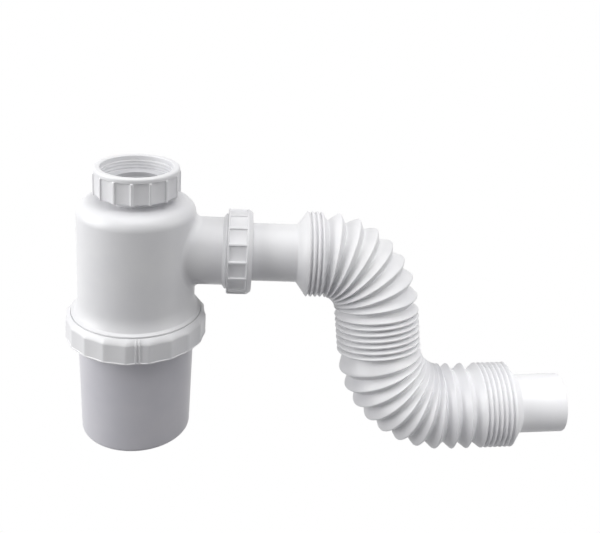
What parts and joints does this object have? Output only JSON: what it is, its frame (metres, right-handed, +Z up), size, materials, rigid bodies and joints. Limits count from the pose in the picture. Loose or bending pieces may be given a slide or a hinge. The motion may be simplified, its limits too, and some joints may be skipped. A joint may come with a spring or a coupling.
{
  "type": "bottle trap",
  "caption": "White plastic bottle trap with a union-nut inlet, screw-held cup, dip tube, side outlet nut and an S-shaped pleated hose that ends in a plain spigot.",
  "frame": {"origin": "centre of the cup's foot, on the surface that the trap stands on", "axes": "+Z up along the trap's axis and out of the inlet, +X along the outlet branch"},
  "size_m": [0.3575, 0.0976, 0.1974],
  "materials": {
    "body_plastic": "semi-gloss white polypropylene",
    "nut_plastic": "semi-gloss white polypropylene",
    "cup_plastic": "semi-gloss white polypropylene, slightly cooler",
    "hose_plastic": "satin white blown polypropylene",
    "seal_rubber": "matte black rubber",
    "gasket_rubber": "soft matte light grey elastomer"
  },
  "bodies": {
    "cup": {"cup": "cup_plastic", "cup_seal": "seal_rubber"},
    "coupling_nut": {"coupling_nut": "nut_plastic"},
    "trap_body": {"trap_body": "body_plastic", "dip_tube": "body_plastic", "inlet_gasket": "gasket_rubber"},
    "inlet_nut": {"inlet_nut": "nut_plastic"},
    "outlet_seal": {"outlet_seal": "seal_rubber"},
    "outlet_nut": {"outlet_nut": "nut_plastic"},
    "flexible_hose": {"flexible_hose": "hose_plastic"}
  },
  "joints": [
    {"name": "cup_release", "type": "slide", "parent": "cup", "child": "trap_body", "axis": [0, 0, 1], "range_m": [0, 0.0115]},
    {"name": "coupling_nut_turn", "type": "hinge", "parent": "cup", "child": "coupling_nut", "pos_m": [0, 0, 0.0835], "axis": [0, 0, 1], "range_deg": [-1036, 1]},
    {"name": "inlet_nut_spin", "type": "hinge", "parent": "trap_body", "child": "inlet_nut", "pos_m": [0, 0, 0.188], "axis": [0, 0, 1], "continuous": true},
    {"name": "outlet_release", "type": "slide", "parent": "trap_body", "child": "outlet_seal", "axis": [1, 0, 0], "range_m": [0, 0.0115]},
    {"name": "outlet_nut_turn", "type": "hinge", "parent": "outlet_seal", "child": "outlet_nut", "pos_m": [0.0708, 0, 0.1379], "axis": [1, 0, 0], "range_deg": [-1, 1381]},
    {"name": "hose_swivel", "type": "hinge", "parent": "outlet_seal", "child": "flexible_hose", "pos_m": [0.1, 0, 0.1379], "axis": [1, 0, 0], "continuous": true}
  ],
  "couplings": [
    {"joint": "coupling_nut_turn", "follows": "cup_release", "rad_per_m": -1570.8},
    {"joint": "outlet_nut_turn", "follows": "outlet_release", "rad_per_m": 2094.4}
  ]
}
